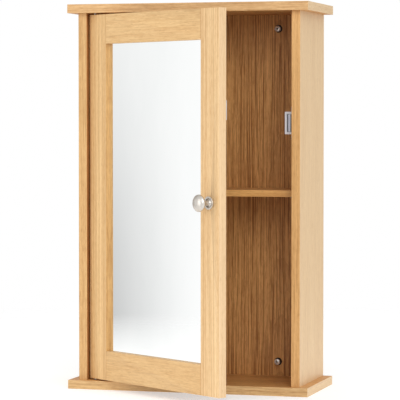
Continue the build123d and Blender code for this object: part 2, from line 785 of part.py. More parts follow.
# Knob rosette: a stepped washer on the door's face
rosette_step = rosette_thickness - rosette_dish
land_outer = rosette_radius - rosette_bevel
land_inner = land_outer - rosette_land
with BuildPart() as rosette:
    with BuildSketch(Plane.XZ):
        with BuildLine():
            Polyline((knob_screw_radius, 0), (rosette_radius, 0), (rosette_radius, rosette_edge),
                     (land_outer, rosette_thickness), (land_inner, rosette_thickness),
                     (land_inner - rosette_dish_slope, rosette_step), (knob_screw_radius, rosette_step),
                     close=True)
        make_face()
    revolve(axis=Axis.Z)
with BuildPart() as knob_rosette:
    with Locations(door_face_plane(0)):
        with Locations((knob_u, knob_z)):
            add(rosette.part)
save(knob_rosette.part, "knob_rosette")

# Knob: foot, waisted neck and domed head, bored for its screw
rim_z = knob_projection - knob_dome
dome_radius = (knob_head_radius**2 + knob_dome**2) / (2 * knob_dome)
neck_top_z = knob_projection - knob_head_thickness
neck_mid_z = (rosette_step + neck_top_z) / 2
with BuildPart() as knob_body:
    with BuildSketch(Plane.XZ):
        with BuildLine():
            Line((0, rosette_step), (knob_foot_radius, rosette_step))
            ThreePointArc((knob_foot_radius, rosette_step), (knob_neck_radius, neck_mid_z),
                          (knob_foot_radius, neck_top_z))
            RadiusArc((knob_foot_radius, neck_top_z), (knob_head_radius, rim_z), -dome_radius / 2)
            RadiusArc((knob_head_radius, rim_z), (0, knob_projection), -dome_radius)
            Line((0, knob_projection), (0, rosette_step))
        make_face()
    revolve(axis=Axis.Z)
    circles = knob_body.edges().filter_by(GeomType.CIRCLE)
    fillet(circles.filter_by(lambda e: e.radius > knob_head_radius - near), radius=knob_rim_round)
    with BuildSketch(Plane.XY.offset(rosette_step)):
        Circle(knob_screw_radius)
    extrude(amount=knob_screw_in_knob - rosette_step, mode=Mode.SUBTRACT)
with BuildPart() as knob:
    with Locations(door_face_plane(0)):
        with Locations((knob_u, knob_z)):
            add(knob_body.part)
save(knob.part, "knob")

# Knob screw: through the stile from behind, into the knob
with BuildPart() as knob_screw:
    screw_plane = door_back_plane(door_thickness)
    with BuildSketch(screw_plane):
        with Locations((-knob_u, knob_z)):
            Circle(knob_screw_radius)
    extrude(amount=-(door_thickness + knob_screw_in_knob))
    with BuildSketch(screw_plane):
        with Locations((-knob_u, knob_z)):
            Circle(knob_screw_head_radius)
    extrude(amount=knob_screw_head)
    head_rim = knob_screw.edges().filter_by(GeomType.CIRCLE).sort_by(lambda e: e.center().Y)[-1]
    fillet(head_rim, radius=knob_screw_head_round)
    with BuildSketch(screw_plane.offset(knob_screw_head)):
        with Locations((-knob_u, knob_z)):
            cross(*knob_screw_cross[:2])
    extrude(amount=-knob_screw_cross[2], mode=Mode.SUBTRACT)
save(knob_screw.part, "knob_screw")
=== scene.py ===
import json
import math

import bmesh
import bpy
from mathutils import Matrix, Vector


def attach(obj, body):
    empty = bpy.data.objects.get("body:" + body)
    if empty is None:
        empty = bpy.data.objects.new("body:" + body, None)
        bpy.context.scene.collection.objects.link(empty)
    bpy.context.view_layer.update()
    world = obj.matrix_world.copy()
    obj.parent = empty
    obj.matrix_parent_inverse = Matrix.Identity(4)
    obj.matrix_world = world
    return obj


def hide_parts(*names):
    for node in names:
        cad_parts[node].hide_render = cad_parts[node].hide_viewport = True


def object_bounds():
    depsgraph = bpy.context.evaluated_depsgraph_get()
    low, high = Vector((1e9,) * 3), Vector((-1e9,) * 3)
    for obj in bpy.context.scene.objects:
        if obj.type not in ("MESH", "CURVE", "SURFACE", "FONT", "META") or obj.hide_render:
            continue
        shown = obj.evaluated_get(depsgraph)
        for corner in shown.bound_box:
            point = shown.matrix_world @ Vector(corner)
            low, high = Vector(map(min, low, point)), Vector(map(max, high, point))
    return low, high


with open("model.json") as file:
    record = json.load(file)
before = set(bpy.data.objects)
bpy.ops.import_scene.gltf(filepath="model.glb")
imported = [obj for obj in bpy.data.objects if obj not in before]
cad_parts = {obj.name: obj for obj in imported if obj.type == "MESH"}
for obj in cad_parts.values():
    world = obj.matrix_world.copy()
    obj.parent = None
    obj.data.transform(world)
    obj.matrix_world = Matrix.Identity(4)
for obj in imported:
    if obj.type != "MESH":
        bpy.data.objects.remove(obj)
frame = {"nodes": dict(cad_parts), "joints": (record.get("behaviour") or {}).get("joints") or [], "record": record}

MM = 0.001
SAME_POINT = 0.001 * MM
cad_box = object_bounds()
nodes = frame["nodes"]
bodies = frame["record"]["behaviour"]["bodies"]
hinge = frame["joints"][0]

# The door stands open in the frame. Its own axes: u along it from the hinge, v through it to the back.
open_angle = math.radians(hinge["range_deg"][1])
across = Vector((1, 0, 0))
rearward = Vector((0, 1, 0))
up = Vector((0, 0, 1))
door_u = Vector((math.cos(open_angle), -math.sin(open_angle), 0))
door_v = Vector((math.sin(open_angle), math.cos(open_angle), 0))

# Turns that lay a board's grain along the local Z of its texture space
QUARTER = math.radians(90)
GRAIN_UP = [(0, 0, 0)]
GRAIN_ACROSS = [(0, -QUARTER, 0)]
GRAIN_REARWARD = [(QUARTER, 0, 0)]
DOOR_GRAIN_UP = [(0, 0, open_angle)]
DOOR_GRAIN_ALONG = [(0, 0, open_angle), (0, -QUARTER, 0)]


# ---------------------------------------------------------------- node trees

class Graph:
    """A node tree under construction."""

    def __init__(self, tree):
        self.tree = tree

    def fill(self, socket, value):
        """Links a socket to another node's output, or sets its own value."""
        if isinstance(value, bpy.types.NodeSocket):
            self.tree.links.new(value, socket)
        else:
            socket.default_value = value

    def node(self, kind, inputs=(), **settings):
        """Adds a node. inputs are its sockets, by name or number, with what goes into each."""
        made = self.tree.nodes.new("ShaderNode" + kind)
        for name, value in settings.items():
            setattr(made, name, value)
        for name, value in dict(inputs).items():
            self.fill(made.inputs[name], value)
        return made

    def math(self, operation, a, b=0.0, c=0.0):
        return self.node("Math", {0: a, 1: b, 2: c}, operation=operation).outputs[0]

    def vector(self, operation, a, b):
        return self.node("VectorMath", {0: a, 1: b}, operation=operation).outputs["Vector"]

    def measure(self, operation, a, b=(0, 0, 0)):
        """A number worked out from vectors."""
        return self.node("VectorMath", {0: a, 1: b}, operation=operation).outputs["Value"]

    def axes(self, place):
        return self.node("SeparateXYZ", {0: place}).outputs

    def total(self, first, *rest):
        for value in rest:
            first = self.math("ADD", first, value)
        return first

    def range(self, value, low, high, to_low, to_high, **settings):
        return self.node("MapRange", {"Value": value, "From Min": low, "From Max": high,
                                      "To Min": to_low, "To Max": to_high}, **settings).outputs[0]

    def smooth_range(self, *values):
        """As range, but easing in and out of both ends."""
        return self.range(*values, interpolation_type="SMOOTHSTEP")

    def between(self, share, a, b):
        """The number a where share is 0, and b where it is 1."""
        return self.node("Mix", {0: share, 2: a, 3: b}, data_type="FLOAT").outputs[0]


class Shader(Graph):
    """A material under construction: its nodes, and the Principled shader at its end."""

    def __init__(self, name):
        self.material = bpy.data.materials.new(name)
        self.material.use_nodes = True
        super().__init__(self.material.node_tree)
        self.surface = self.tree.nodes["Principled BSDF"]
        self.object_place = self.node("TexCoord").outputs["Object"]

    def noise(self, place, scale, detail=2.0, roughness=0.5, output="Fac"):
        """Noise from 0 to 1. scale is in cycles a metre, along each axis or the same along all three."""
        spread = self.vector("MULTIPLY", place, scale if isinstance(scale, tuple) else (scale,) * 3)
        made = self.node("TexNoise", {"Vector": spread, "Scale": 1.0, "Detail": detail,
                                      "Roughness": roughness})
        return made.outputs[output]

    def grain(self, place, over, along, detail=2.0, roughness=0.5):
        """Noise with its own scale over the grain and along it, in cycles a metre."""
        return self.noise(place, (over, over, along), detail, roughness)

    def swing(self, value, gain):
        """value about its middle, 0.5, times gain."""
        return self.math("MULTIPLY_ADD", value, gain, -0.5 * gain)

    def ramp(self, value, stops):
        """The colour for a value, between (position, colour) stops."""
        made = self.node("ValToRGB", {"Fac": value})
        elements = made.color_ramp.elements
        while len(elements) < len(stops):
            elements.new(0.5)
        for element, (position, colour) in zip(elements, stops):
            element.position = position
            element.color = (*colour, 1)
        return made.outputs["Color"]

    def mix(self, share, a, b):
        """Colour a where share is 0, and b where it is 1. b is red, green and blue."""
        return self.node("Mix", {0: share, 6: a, 7: (*b, 1)}, data_type="RGBA").outputs[2]

    def bump(self, height, strength, distance):
        made = self.node("Bump", {"Height": height, "Strength": strength, "Distance": distance})
        self.fill(self.surface.inputs["Normal"], made.outputs["Normal"])

    def set(self, **values):
        """Fills the Principled shader's own sockets. Base_Color stands for Base Color, and so on."""
        for name, value in values.items():
            self.fill(self.surface.inputs[name.replace("_", " ")], value)


# ---------------------------------------------------------------- materials

def srgb(red, green, blue):
    """A colour given as 0 to 255 display values, as linear light."""
    def linear(value):
        value /= 255
        return value / 12.92 if value <= 0.04045 else ((value + 0.055) / 1.055) ** 2.4
    return tuple(linear(v) for v in (red, green, blue))


def growth_rings(m, place):
    """Cathedral figure: rings about a pith that drifts out of the board, 0 between them and 1 on them."""
    width = 70 * MM
    thickness = 50 * MM
    pith_depth = 18 * MM
    waviness = 30 * MM
    spacing = 5 * MM
    drift = 0.06
    sharpness = 6.0
    x, y, z = m.axes(place)
    sideways = m.math("ADD", m.math("PINGPONG", x, width), m.swing(m.grain(place, 30, 5, 3), waviness))
    through = m.math("ADD", m.math("PINGPONG", y, thickness), pith_depth)
    square = m.math("MULTIPLY_ADD", sideways, sideways, m.math("MULTIPLY", through, through))
    radius = m.math("MULTIPLY_ADD", z, drift, m.math("SQRT", square))
    turn = m.math("FRACT", m.math("DIVIDE", radius, spacing))
    return m.math("POWER", turn, sharpness)


def seam_line(m, board, seam):
    """How dark a joint with the next board makes it: most at seam, which is a place across the grain."""
    off = m.math("ABSOLUTE", m.math("SUBTRACT", m.axes(board)[0], seam))
    return m.range(off, 0.4 * MM, 1.1 * MM, 0.85, 0)


def wood(name, turns, light, dark, seed, contrast=1.0, lines=0.25, length=1.0, rings=0.0, wander=5 * MM,
         coarse=1.0, seams=()):
    """Oak, as timber or as its printed foil: bands, streaks, dark fibre lines, rings and short pores.
    length stretches the figure along the grain, coarse across it, and wander bends it. seams are where,
    across the grain, a joint with the next board shows as a dark line."""
    m = Shader(name)
    board = m.object_place
    for turn in turns:
        board = m.node("Mapping", {"Vector": board, "Rotation": turn}).outputs[0]
    place = m.vector("ADD", board, (seed * 0.37, seed * 0.53, seed * 0.71))
    drift = m.vector("SUBTRACT", m.noise(place, (22, 22, 7), 3, 0.55, "Color"), (0.5, 0.5, 0.5))
    place = m.vector("ADD", place, m.vector("MULTIPLY", drift, (wander, wander, 0)))

    # Each layer of the figure and how much it moves the tone, which is 0.55 on the whole
    streaks = m.grain(place, 900 / coarse, 26 / length, 3, 0.6)
    fibre = m.grain(place, 2200, 70)
    layers = [
        (m.grain(place, 55, 2.5 / length), 0.5),
        (m.grain(place, 300 / coarse, 5 / length), 0.8),
        (streaks, 1.4),
        (m.grain(place, 420, 120), 0.6),
        (fibre, 0.6),
    ]
    tone = m.total(*[m.swing(layer, gain * contrast) for layer, gain in layers], 0.55)
    middle = tuple(0.42 * d + 0.58 * l for d, l in zip(dark, light))
    colour = m.ramp(tone, [(0.05, dark), (0.50, middle), (0.95, light)])

    # What is darker than the figure: fibre lines, rings, pores and seams
    elsewhere = m.vector("ADD", place, (3.1, 1.7, 0.4))
    line = m.range(m.grain(elsewhere, 800 / coarse, 12 / length), 0.52, 0.62, 0, lines)
    if rings:
        ring = m.math("MULTIPLY", growth_rings(m, place), rings)
        broken_ring = m.math("MULTIPLY", ring, m.range(streaks, 0.3, 0.6, 0.5, 1))
        line = m.math("MAXIMUM", line, broken_ring)
    pore = m.range(m.grain(place, 1700, 110, 1), 0.62, 0.70, 0, 0.45)
    deep = tuple(0.78 * d for d in dark)
    for share in (line, pore, *[seam_line(m, board, seam) for seam in seams]):
        colour = m.mix(share, colour, deep)

    m.set(Base_Color=colour, Roughness=m.range(fibre, 0.3, 0.7, 0.39, 0.53))
    m.bump(m.math("SUBTRACT", m.math("MULTIPLY", fibre, 0.4), pore), 0.25, 0.10 * MM)
    return m.material


def fibreboard(name, light, dark):
    """Raw fibreboard, where a board is sawn, grooved or bored: felted flecks and a little fluff."""
    m = Shader(name)
    fleck = m.noise(m.object_place, 1400, 3, 0.7)
    cloud = m.noise(m.object_place, 60)
    tone = m.total(m.math("MULTIPLY", fleck, 0.7), m.math("MULTIPLY", cloud, 0.3))
    m.set(Base_Color=m.ramp(tone, [(0.32, dark), (0.68, light)]), Roughness=0.85)
    m.bump(fleck, 0.35, 0.25 * MM)
    return m.material


def metal(name, light, dark, roughness, relief, metallic=1.0, marks=900):
    """Plated or plain metal: fine brushing or tumbling marks, and faint clouding."""
    m = Shader(name)
    scratch = m.noise(m.object_place, marks, 3, 0.6)
    cloud = m.noise(m.object_place, 90, 3)
    m.set(Base_Color=m.ramp(cloud, [(0.30, dark), (0.65, light)]), Metallic=metallic,
          Roughness=m.range(scratch, 0.3, 0.7, roughness - 0.06, roughness + 0.08))
    m.bump(scratch, relief, 0.06 * MM)
    return m.material


def plastic(name, light, dark, roughness):
    """Moulded plastic: a fine spark-eroded texture and slight flow shading."""
    m = Shader(name)
    spark = m.noise(m.object_place, 2600)
    flow = m.grain(m.object_place, 120, 40)
    m.set(Base_Color=m.ramp(flow, [(0.25, dark), (0.7, light)]),
          Roughness=m.range(spark, 0.3, 0.7, roughness - 0.05, roughness + 0.07))
    m.bump(spark, 0.12, 0.05 * MM)
    return m.material


def silvered_glass(name):
    """A mirror: silver behind glass, with the faintest haze from wiping."""
    m = Shader(name)
    haze = m.grain(m.object_place, 14, 5, 4, 0.55)
    m.set(Base_Color=m.ramp(haze, [(0.3, (0.90, 0.915, 0.91)), (0.7, (0.935, 0.945, 0.94))]),
          Metallic=1.0, Roughness=m.range(haze, 0.45, 0.8, 0.0, 0.03))
    return m.material


def speckled(name, light, dark, roughness, fineness):
    """A dull pressed or sintered surface with a fine speckle."""
    m = Shader(name)
    fleck = m.noise(m.object_place, fineness, 3, 0.7)
    m.set(Base_Color=m.ramp(fleck, [(0.35, dark), (0.65, light)]), Roughness=roughness)
    m.bump(fleck, 0.25, 0.1 * MM)
    return m.material


def shades(light, dark):
    """A wood's lightest and darkest colours, given as display values."""
    return dict(light=srgb(*light), dark=srgb(*dark))


# Foils on the boards' faces and the door's timber. The darker copies for the inside of the cabinet are painted
# shade.
FOIL = shades((238, 201, 144), (200, 150, 92))
SOFT_FOIL = shades((233, 196, 139), (195, 145, 87))
BRIGHT_FOIL = shades((242, 207, 155), (205, 157, 100))
PALE_FOIL = shades((239, 208, 162), (209, 169, 120))
EDGE_FOIL = shades((240, 208, 164), (208, 168, 120))
LIP_FOIL = shades((230, 184, 118), (186, 134, 72))
# A darker, deeper copy of the foil: painted shade for every face inside the cabinet.
SHADED_INNER_FOIL = shades((238, 182, 113), (160, 101, 44))
SHADED_FOIL = shades((196, 138, 80), (122, 72, 30))

# Banding on the boards' front edges
BANDING = shades((231, 189, 134), (186, 136, 80))
SOFT_BANDING = shades((223, 186, 131), (179, 133, 78))
DEEP_BANDING = shades((227, 185, 125), (181, 132, 74))
WARM_BANDING = shades((238, 189, 124), (192, 137, 74))
SHADED_BANDING = shades((239, 183, 111), (193, 131, 65))

# Beech, plain, and a near-black copy that is painted shadow
BEECH = shades((224, 192, 150), (192, 152, 108))
PAINTED_SHADOW = shades((50, 38, 28), (34, 24, 16))

raw_board = fibreboard("raw_fibreboard", srgb(176, 142, 104), srgb(120, 90, 60))
nickel = metal("satin_nickel", srgb(222, 216, 208), srgb(208, 201, 192), 0.36, 0.03)
zinc = metal("bright_zinc", srgb(222, 222, 224), srgb(200, 200, 204), 0.36, 0.10)
clear_zinc = metal("clear_zinc", srgb(252, 250, 246), srgb(240, 238, 234), 0.36, 0.08, 0.15)
polished_zinc = metal("polished_zinc", srgb(250, 248, 244), srgb(238, 236, 232), 0.26, 0.04, 0.4)
# Near-black: painted shade in the screws' cross recesses.
recess = metal("painted_recess_shade", srgb(62, 56, 50), srgb(38, 34, 30), 0.55, 0.12, marks=1500)
steel = metal("plain_steel", srgb(122, 124, 132), srgb(98, 100, 108), 0.38, 0.12, marks=(1500, 1500, 200))
white = plastic("white_plastic", srgb(240, 240, 244), srgb(228, 228, 234), 0.34)
nylon = plastic("natural_nylon", srgb(232, 230, 220), srgb(216, 213, 202), 0.48)
ferrite = speckled("magnet", srgb(244, 245, 254), srgb(228, 229, 242), 0.45, 1500)
hardboard = speckled("hardboard", srgb(126, 90, 60), srgb(86, 58, 36), 0.72, 700)
mirror = silvered_glass("silvered_glass")
beech_dowel = wood("beech_dowel", GRAIN_UP, seed=19.1, contrast=0.7, **BEECH)


# ---------------------------------------------------------------- the CAD nodes that stay

def body_of(node):
    """The name of the body that a CAD node belongs to."""
    return next(name for name, members in bodies.items() if node in members)


def span(node, axis):
    """How far a CAD node reaches along an axis: (lowest, highest)."""
    places = [v.co.dot(axis) for v in nodes[node].data.vertices]
    return min(places), max(places)


def is_machined(polygon, spans):
    """True inside a board's outer planes: in its grooves, bores and rebates."""
    return all(low + MM < polygon.center.dot(axis) < high - MM for axis, (low, high) in spans)


def faces_along(polygon, normal):
    """True if a polygon faces within 60 degrees of a normal."""
    return polygon.normal.dot(normal) > 0.5


def soften(node, width):
    """Takes the machine-sharp corner off a CAD node's edges."""
    weld = nodes[node].modifiers.new("weld", "WELD")
    weld.merge_threshold = SAME_POINT
    bevel = nodes[node].modifiers.new("bevel", "BEVEL")
    bevel.width = width
    bevel.segments = 2
    bevel.limit_method = "ANGLE"
    bevel.angle_limit = math.radians(40)
    bevel.harden_normals = True


def finish_board(node, face, edges=(), bevel=0.35 * MM):
    """Gives a board its foil, raw board where it is machined, and the material of each (normal, material)
    of edges on what faces along that normal. The first normal that fits counts."""
    mesh = nodes[node].data
    axes = (door_u, door_v, up) if body_of(node) == "door" else (across, rearward, up)
    spans = [(axis, span(node, axis)) for axis in axes]
    mesh.materials.clear()
    for material in (face, raw_board, *[material for normal, material in edges]):
        mesh.materials.append(material)
    for polygon in mesh.polygons:
        facing = (k for k, (normal, material) in enumerate(edges, 2) if faces_along(polygon, normal))
        polygon.material_index = 1 if is_machined(polygon, spans) else next(facing, 0)
    if bevel:
        soften(node, bevel)


def finish_part(node, material, bevel=0.12 * MM):
    """Gives a CAD node one material all over."""
    mesh = nodes[node].data
    mesh.materials.clear()
    mesh.materials.append(material)
    for polygon in mesh.polygons:
        polygon.material_index = 0
    if bevel:
        soften(node, bevel)


def finish_ends():
    """The top and bottom panels: foil outside, banding on the front and the ends, and inside a darker copy of the
    foil that is painted shade.
    """
    for node, seed, outside, band in (("top_panel", 1.3, up, BANDING),
                                      ("bottom_panel", 2.9, -up, SOFT_BANDING)):
        # The inside faces take a darker copy of the foil: painted shade.
        face = wood(node + "_foil", GRAIN_ACROSS, seed=seed, **SHADED_INNER_FOIL)
        skin = wood(node + "_skin", GRAIN_ACROSS, seed=seed + 0.2, **FOIL)
        front = wood(node + "_front", GRAIN_ACROSS, seed=seed + 0.4, contrast=1.1, lines=0.35, **band)
        end = wood(node + "_end", GRAIN_REARWARD, seed=seed + 0.7, contrast=0.8, lines=0.15, **PALE_FOIL)
        finish_board(node, face, [(-rearward, front), (across, end), (-across, end), (rearward, raw_board),
                                  (outside, skin)])


def finish_sides():
    """The side panels: foil outside, banding on the front, and inside a darker copy of the foil that is painted
    shade, darkest on the left panel, by the door's hinge.
    """
    for node, seed, outside, foil, band in (("left_side_panel", 4.1, -across, SHADED_FOIL, DEEP_BANDING),
                                            ("right_side_panel", 5.7, across, SHADED_INNER_FOIL, WARM_BANDING)):
        face = wood(node + "_foil", GRAIN_UP, seed=seed, **foil)
        skin = wood(node + "_skin", GRAIN_UP, seed=seed + 0.2, contrast=0.8, lines=0.12, **PALE_FOIL)
        front = wood(node + "_front", GRAIN_UP, seed=seed + 0.4, contrast=0.9, lines=0.3, length=2, **band)
        finish_board(node, face, [(-rearward, front), (outside, skin), (rearward, raw_board)])


def finish_back():
    """The back panel, with the strongest figure, in a darker copy of the foil that is painted shade, and the beech
    rails behind it, whose front faces are a near-black painted shadow seen through the back panel's holes. The
    rails keep their sharp edges."""
    # The back panel's foil is a darker copy: painted shade.
    back = wood("back_foil", GRAIN_UP, seed=7.3, contrast=0.9, lines=0.9, length=2.2, rings=0.4, coarse=1.1,
                **SHADED_INNER_FOIL)
    finish_board("back_panel", back, [(rearward, raw_board)], bevel=0.2 * MM)
    for node, seed in (("upper_hanging_rail", 16.3), ("lower_hanging_rail", 17.9)):
        face = wood(node + "_beech", GRAIN_ACROSS, seed=seed, contrast=0.8, **BEECH)
        # The rails' front faces, seen only through the back panel's holes, take a near-black copy of the beech:
        # painted shadow.
        painted_shadow = wood(node + "_stained", GRAIN_ACROSS, seed=seed, contrast=0.8, **PAINTED_SHADOW)
        finish_board(node, face, [(-rearward, painted_shadow)], bevel=0)


def finish_shelf():
    # The shelf's faces take the darker inside foil, and its front the shaded banding: both painted shade.
    face = wood("shelf_foil", GRAIN_ACROSS, seed=8.9, **SHADED_INNER_FOIL)
    front = wood("shelf_front", GRAIN_ACROSS, seed=9.2, lines=0.2, **SHADED_BANDING)
    finish_board("shelf", face, [(-rearward, front), (rearward, raw_board)])


def finish_stiles():
    """The door's upright members. Each shows a seam where the rails meet it, and a lip by the mirror."""
    lip = wood("lip_oak", DOOR_GRAIN_UP, seed=9.7, lines=0.2, **LIP_FOIL)
    free_edge = wood("door_edge", DOOR_GRAIN_UP, seed=12.6, length=4, lines=0.15, contrast=0.7, **EDGE_FOIL)
    hinge_side = ("door_left_stile", 10.3, FOIL, door_u, lip)
    free_side = ("door_right_stile", 11.7, BRIGHT_FOIL, -door_u, free_edge)
    for node, seed, foil, inward, edge in (hinge_side, free_side):
        joint = span(node, door_u)[1 if inward == door_u else 0]
        face = wood(node + "_oak", DOOR_GRAIN_UP, seed=seed, length=5, lines=0.4, wander=2 * MM, coarse=1.4,
                    seams=[joint], **foil)
        end = wood(node + "_end", DOOR_GRAIN_ALONG, seed=seed + 0.5, **foil)
        finish_board(node, face, [(up, end), (-up, end), (inward, lip), (-inward, edge)], bevel=0.5 * MM)


def finish_rails():
    """The door's level members."""
    for node, seed, foil in (("door_top_rail", 13.1, FOIL), ("door_bottom_rail", 14.9, SOFT_FOIL)):
        face = wood(node + "_oak", DOOR_GRAIN_ALONG, seed=seed, length=0.55, contrast=0.65, lines=0.3,
                    coarse=0.85, **foil)
        finish_board(node, face, bevel=0.5 * MM)


def finish_fittings():
    looks = {
        beech_dowel: ("carcass_dowels", "door_dowels"),
        zinc: ("shelf_pins", "cam_bolts", "cam_locks", "backing_clips", "strike_plate", "knob_screw"),
        clear_zinc: ("upper_pivot_pin", "lower_pivot_pin"),
        steel: ("catch_pole_plates",),
        nylon: ("upper_bush", "lower_bush"),
        white: ("catch_housing",),
        ferrite: ("catch_magnet",),
        hardboard: ("mirror_backing",),
    }
    for material, names in looks.items():
        for node in names:
            finish_part(node, material)
    finish_part("mirror_glass", mirror, bevel=0)


# ---------------------------------------------------------------- what the CAD solids measure

def islands(node):
    """The separate solids of a CAD node, each as a list of its points."""
    shape = bmesh.new()
    shape.from_mesh(nodes[node].data)
    bmesh.ops.remove_doubles(shape, verts=shape.verts, dist=SAME_POINT)
    left = set(shape.verts)
    found = []
    while left:
        group = [left.pop()]
        border = group
        while border:
            near = [e.other_vert(v) for v in border for e in v.link_edges]
            border = [v for v in dict.fromkeys(near) if v in left]
            left.difference_update(border)
            group = group + border
        found.append([v.co.copy() for v in group])
    shape.free()
    return sorted(found, key=lambda points: tuple(round(c, 6) for c in min(p.to_tuple() for p in points)))


def stand(origin, axis):
    """A matrix that puts local Z along axis and the local origin at origin."""
    side = up if abs(axis.dot(up)) < 0.9 else rearward
    x = side.cross(axis).normalized()
    return Matrix.Translation(origin) @ Matrix((x, axis.cross(x), axis)).transposed().to_4x4()


class Turned:
    """What a round CAD solid measures about its own axis. Heights run along the axis. The ledge is the
    underside of its widest part, such as a screw's head, and the shank is the radius well below that."""

    def __init__(self, points, axis):
        local = stand(Vector(), axis).inverted()
        places = [local @ p for p in points]
        middle = [(min(p[i] for p in places) + max(p[i] for p in places)) / 2 for i in (0, 1)]
        reaches = [(math.hypot(p.x - middle[0], p.y - middle[1]), p.z) for p in places]
        self.radius = max(r for r, h in reaches)
        self.top = max(h for r, h in reaches)
        self.bottom = min(h for r, h in reaches)
        self.ledge = min(h for r, h in reaches if r > 0.9 * self.radius)
        below = self.ledge - 0.3 * (self.ledge - self.bottom)
        self.shank = max((r for r, h in reaches if h < below), default=0)
        self.place = stand(Vector(), axis) @ Matrix.Translation((*middle, 0))


# ---------------------------------------------------------------- making meshes

def bend(start, corner, end, steps=8):
    """Points of a smooth curve from start to end, pulled towards corner."""
    points = []
    for k in range(steps + 1):
        t = k / steps
        weights = ((1 - t) ** 2, 2 * t * (1 - t), t ** 2)
        points.append(tuple(sum(w * p[i] for w, p in zip(weights, (start, corner, end))) for i in (0, 1)))
    return points


def lathe(shape, outline, segments=48):
    """Adds a turned solid. outline is its (radius, height) points, from the axis back to the axis."""
    rings = []
    for radius, height in outline:
        on_axis = radius < 1e-9
        angles = [2 * math.pi * k / segments for k in range(1 if on_axis else segments)]
        rings.append([shape.verts.new((radius * math.cos(a), radius * math.sin(a), height)) for a in angles])
    for low, high in zip(rings, rings[1:]):
        for k in range(segments):
            corners = (low[k % len(low)], low[(k + 1) % len(low)], high[(k + 1) % len(high)],
                       high[k % len(high)])
            corners = list(dict.fromkeys(corners))
            if len(corners) > 2:
                shape.faces.new(corners)


def thread(shape, top, bottom, core, crest, pitch, point, segments=24):
    """Adds a wood screw's thread: one ridge that winds from top down to bottom, from radius core out to
    crest, and narrows to a point over the last stretch."""
    count = int((top - bottom) / pitch * segments)

    def corner(step, lift, outer):
        """A point of the helix: lift is how far down its own turn, and outer is 1 on the ridge."""
        height = top - pitch * (step / segments + lift)
        taper = min(1, max(0, (height - bottom) / point))
        fade = min(1, step / segments, (count - step) / segments)
        radius = (core + (crest - core) * fade * outer) * taper
        angle = 2 * math.pi * step / segments
        return shape.verts.new((radius * math.cos(angle), radius * math.sin(angle), max(height, bottom)))

    roots = [corner(step, 0, 0) for step in range(count + segments + 1)]
    crests = [corner(step, 0.5, 1) for step in range(count + 1)]
    for k in range(count):
        shape.faces.new((roots[k], crests[k], crests[k + 1], roots[k + 1]))
        shape.faces.new((crests[k], roots[k + segments], roots[k + segments + 1], crests[k + 1]))
    cap = shape.verts.new((0, 0, top))
    start = roots[:segments + 1] + [crests[0]]
    tip = shape.verts.new((0, 0, bottom))
    end = [crests[count]] + roots[count:]
    for loop, centre in ((start, cap), (end, tip)):
        for a, b in zip(loop, loop[1:] + loop[:1]):
            shape.faces.new((a, b, centre))


def smooth(mesh, sharp):
    """Shades a mesh smooth, but for edges over sharp degrees."""
    for polygon in mesh.polygons:
        polygon.use_smooth = True
    mesh.set_sharp_from_angle(angle=math.radians(sharp))


def to_mesh(shape, name, sharp=35):
    """Closes a bmesh into a mesh: welded, facing outwards, smooth but for its sharp edges."""
    bmesh.ops.remove_doubles(shape, verts=shape.verts, dist=0.0005 * MM)
    bmesh.ops.dissolve_degenerate(shape, edges=shape.edges, dist=0.0002 * MM)
    bmesh.ops.recalc_face_normals(shape, faces=shape.faces)
    mesh = bpy.data.meshes.new(name)
    shape.to_mesh(mesh)
    shape.free()
    smooth(mesh, sharp)
    return mesh


def gather(name, copies, sharp=35):
    """One mesh out of (mesh, place) copies, where place is a matrix."""
    shape = bmesh.new()
    for mesh, place in copies:
        start = len(shape.verts)
        shape.from_mesh(mesh)
        shape.verts.ensure_lookup_table()
        bmesh.ops.transform(shape, matrix=place, verts=shape.verts[start:])
    joined = bpy.data.meshes.new(name)
    shape.to_mesh(joined)
    shape.free()
    smooth(joined, sharp)
    return joined


def carve(mesh, cutter):
    """The mesh with the cutter's shape taken out of it."""
    body, tool = (bpy.data.objects.new("carved", m) for m in (mesh, cutter))
    for thing in (body, tool):
        bpy.context.scene.collection.objects.link(thing)
    cut = body.modifiers.new("cut", "BOOLEAN")
    cut.object = tool
    cut.solver = "EXACT"
    cut.use_self = True
    result = bpy.data.meshes.new_from_object(body.evaluated_get(bpy.context.evaluated_depsgraph_get()))
    for thing in (body, tool):
        bpy.data.objects.remove(thing)
    return result


def add_piece(name, mesh, replaced, slot, *materials):
    """Makes a mesh into a piece that stands for a CAD node and moves with its body."""
    piece = bpy.data.objects.new(name, mesh)
    for material in materials:
        mesh.materials.append(material)
    bpy.context.scene.collection.objects.link(piece)
    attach(piece, body_of(replaced))
    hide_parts(replaced)


# ---------------------------------------------------------------- screws

def cross_cutter(reach, width, depth, top):
    """A cross-head driver's point: two crossed blades that narrow downwards from a screw's top."""
    shape = bmesh.new()
    for turn in (0, QUARTER):
        blade = bmesh.ops.create_cube(shape, size=1.0)["verts"]
        for vert in blade:
            down = vert.co.z < 0
            vert.co.x *= 2 * reach * (0.5 if down else 1.0)
            vert.co.y *= width * (0.75 if down else 1.0)
            vert.co.z = top - depth if down else top + depth
        bmesh.ops.rotate(shape, verts=blade, matrix=Matrix.Rotation(turn, 3, "Z"))
    return to_mesh(shape, "driver")


def countersunk_outline(radius, shank):
    """A flat head over a cone. Its top lies at 0."""
    cone = radius - shank
    rim = 0.1 * MM
    return [(0, 0), (radius - rim, 0), (radius, -rim), (shank, -cone), (0, -cone)]


def pan_outline(radius, height):
    """A domed head with a rounded rim. Its ledge lies at 0."""
    rim = 0.38 * height
    dome = bend((0, height), (0.75 * radius, height), (radius, rim), 12)
    return dome + bend((radius, rim), (radius, 0), (0.94 * radius, 0), 4)[1:] + [(0, 0)]


